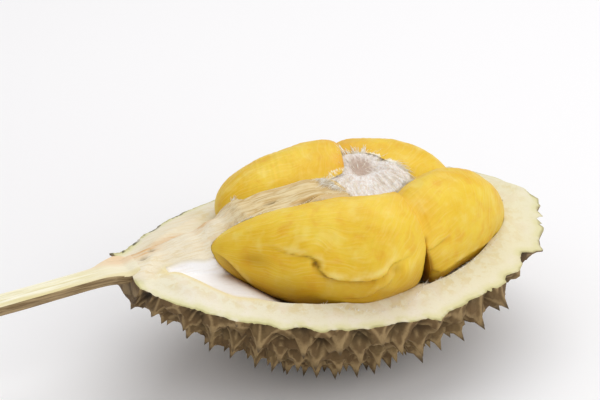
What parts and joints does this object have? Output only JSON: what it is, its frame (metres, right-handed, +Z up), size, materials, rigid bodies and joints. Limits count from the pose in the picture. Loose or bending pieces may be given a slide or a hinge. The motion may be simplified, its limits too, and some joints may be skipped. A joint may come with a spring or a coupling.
{
  "type": "durian",
  "caption": "Opened durian on its side: part of the spiny husk with its split stem, core and locules, holding the pulp-covered arils, resting on its blunted spines.",
  "frame": {"origin": "middle of the fruit's bounding box, on the plane that the lowest spines stand on", "axes": "+X from the stem towards the blossom end, +Y to the back, away from the larger aril, +Z up out of the opened face"},
  "size_m": [0.291, 0.1554, 0.0926],
  "materials": {
    "husk": "matt olive-brown spiny rind outside, cream fibrous cut face and pith inside",
    "stem": "matt split wood, pale cut face with a brown bark side",
    "aril_flesh": "soft satin golden pulp with fine fibres and folds"
  },
  "bodies": {
    "root": {"husk": "husk", "stem": "stem", "aril_front_left": "aril_flesh", "aril_front_right": "aril_flesh", "aril_back_left": "aril_flesh", "aril_back_right": "aril_flesh"}
  },
  "joints": []
}
